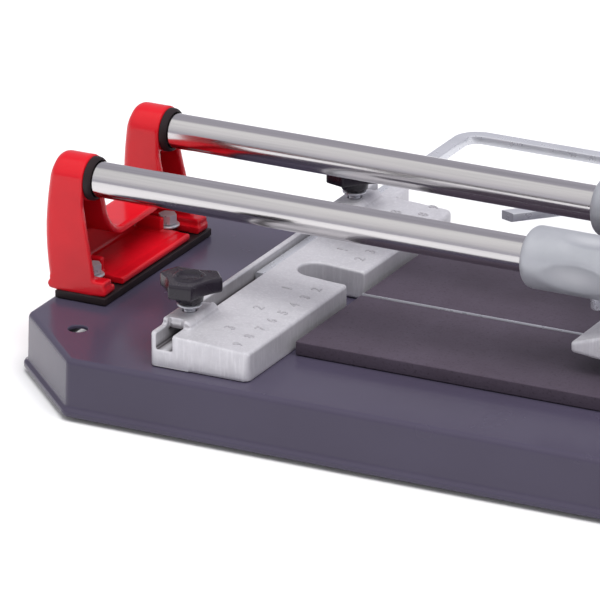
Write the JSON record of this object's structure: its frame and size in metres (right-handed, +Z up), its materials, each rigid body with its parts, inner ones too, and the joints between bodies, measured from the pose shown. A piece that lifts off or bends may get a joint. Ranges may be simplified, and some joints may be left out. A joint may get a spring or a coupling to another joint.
{
  "type": "manual tile cutter",
  "caption": "Manual tile cutter with a pressed tray, twin chromed rails in red cast brackets, a sliding scoring lever, padded bed and scale fence with a sliding stop.",
  "frame": {"origin": "middle of the bounding box in plan, on the surface the feet stand on", "axes": "+X along the rails, away from the scale fence; +Y across, towards the stop bar's loop; +Z up"},
  "size_m": [0.6846, 0.2972, 0.269],
  "materials": {
    "tray_paint": "smooth gloss",
    "red_paint": "high gloss",
    "chrome": "polished",
    "cast_aluminium": "satin, as cast",
    "zinc": "zinc plated",
    "rubber": "matte",
    "pad_rubber": "matte, fine grain",
    "black_plastic": "semi-gloss",
    "bronze": "machined",
    "carbide": "ground"
  },
  "bodies": {
    "base": {"base_tray": "tray_paint", "bolt_left_front": "zinc", "bolt_left_rear": "zinc", "bolt_right_front": "zinc", "bolt_right_rear": "zinc", "breaking_ridge": "zinc", "collar_left_front": "rubber", "collar_left_rear": "rubber", "collar_right_front": "rubber", "collar_right_rear": "rubber", "fence_screw_front": "zinc", "fence_screw_rear": "zinc", "foot_left_front": "rubber", "foot_left_rear": "rubber", "foot_right_front": "rubber", "foot_right_rear": "rubber", "front_pad": "pad_rubber", "front_rail": "chrome", "left_gasket": "rubber", "left_rail_bracket": "red_paint", "nut_left_front": "zinc", "nut_left_rear": "zinc", "nut_right_front": "zinc", "nut_right_rear": "zinc", "rail_screw_left_front": "zinc", "rail_screw_left_rear": "zinc", "rail_screw_right_front": "zinc", "rail_screw_right_rear": "zinc", "rear_pad": "pad_rubber", "rear_rail": "chrome", "right_gasket": "rubber", "right_rail_bracket": "red_paint", "scale_fence": "cast_aluminium", "washer_left_front": "zinc", "washer_left_rear": "zinc", "washer_right_front": "zinc", "washer_right_rear": "zinc"},
    "carriage": {"carriage_body": "cast_aluminium", "sleeve_liner_front": "bronze", "sleeve_liner_rear": "bronze", "sleeve_screw_front": "zinc", "sleeve_screw_rear": "zinc", "pivot_pin": "zinc"},
    "lever": {"lever_arm": "cast_aluminium", "handle_tube": "chrome", "handle_grip": "black_plastic", "wheel_holder": "zinc", "wheel_axle": "zinc", "holder_screw": "zinc"},
    "wheel": {"scoring_wheel": "carbide"},
    "breaker": {"breaker_foot": "cast_aluminium", "breaker_pin": "zinc", "breaker_nut": "zinc"},
    "front_clamp": {"front_clamp_knob": "black_plastic", "front_clamp_stud": "zinc", "front_clamp_washer": "zinc"},
    "rear_clamp": {"rear_clamp_knob": "black_plastic", "rear_clamp_stud": "zinc", "rear_clamp_washer": "zinc"},
    "measuring_stop": {"stop_bar": "zinc"}
  },
  "joints": [
    {"name": "carriage_slide", "type": "slide", "parent": "base", "child": "carriage", "axis": [1, 0, 0], "range_m": [-0.145, 0.33]},
    {"name": "lever_hinge", "type": "hinge", "parent": "carriage", "child": "lever", "pos_m": [-0.072, -0.0396, 0.0949], "axis": [0, 1, 0], "range_deg": [-6, 14]},
    {"name": "breaker_tilt", "type": "hinge", "parent": "lever", "child": "breaker", "pos_m": [-0.052, -0.0396, 0.0589], "axis": [0, 1, 0], "range_deg": [-14, 6]},
    {"name": "wheel_spin", "type": "hinge", "parent": "lever", "child": "wheel", "pos_m": [-0.08, -0.0396, 0.0529], "axis": [0, 1, 0], "continuous": true},
    {"name": "front_knob_turn", "type": "hinge", "parent": "base", "child": "front_clamp", "pos_m": [-0.2572, -0.1146, 0.0465], "axis": [0, 0, 1], "continuous": true},
    {"name": "rear_knob_turn", "type": "hinge", "parent": "base", "child": "rear_clamp", "pos_m": [-0.2572, 0.0354, 0.0465], "axis": [0, 0, 1], "continuous": true},
    {"name": "stop_slide", "type": "slide", "parent": "base", "child": "measuring_stop", "axis": [0, 1, 0], "range_m": [-0.07, 0.06]}
  ],
  "couplings": [
    {"joint": "breaker_tilt", "follows": "lever_hinge", "ratio": -1}
  ]
}
